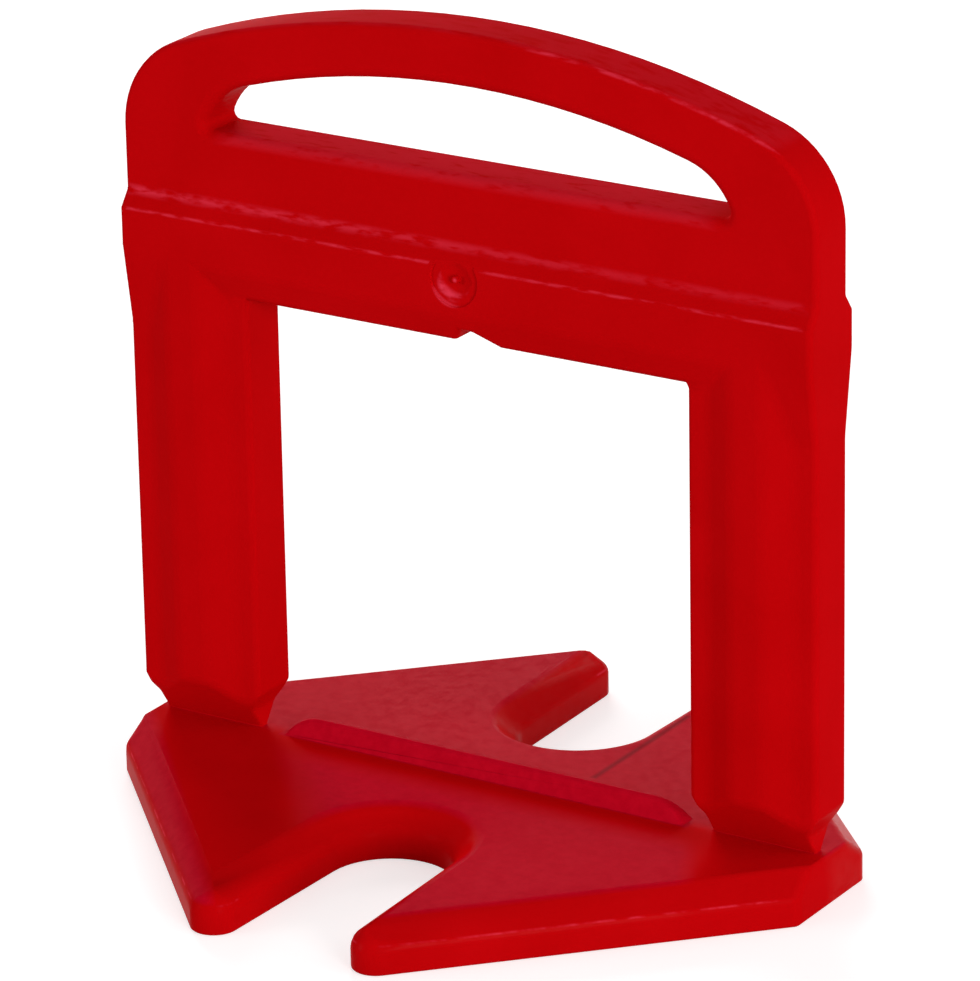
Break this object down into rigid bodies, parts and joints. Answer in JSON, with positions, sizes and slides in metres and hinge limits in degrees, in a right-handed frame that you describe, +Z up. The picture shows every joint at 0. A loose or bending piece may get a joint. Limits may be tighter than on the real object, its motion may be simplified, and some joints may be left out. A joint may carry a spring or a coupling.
{
  "type": "tile levelling clip",
  "caption": "Break-off tile levelling clip: a slotted square base lies under the tiles, a frame with a wedge window stands in the joint, and an arched handle closes it.",
  "frame": {"origin": "middle of the base's underside", "axes": "+Z up through the middle of the frame, X along the frame from leg to leg, Y through the joint from tile to tile"},
  "size_m": [0.0402, 0.0374, 0.042],
  "materials": {
    "clip_plastic": "satin moulded red plastic"
  },
  "bodies": {
    "root": {"levelling_clip": "clip_plastic"}
  },
  "joints": []
}
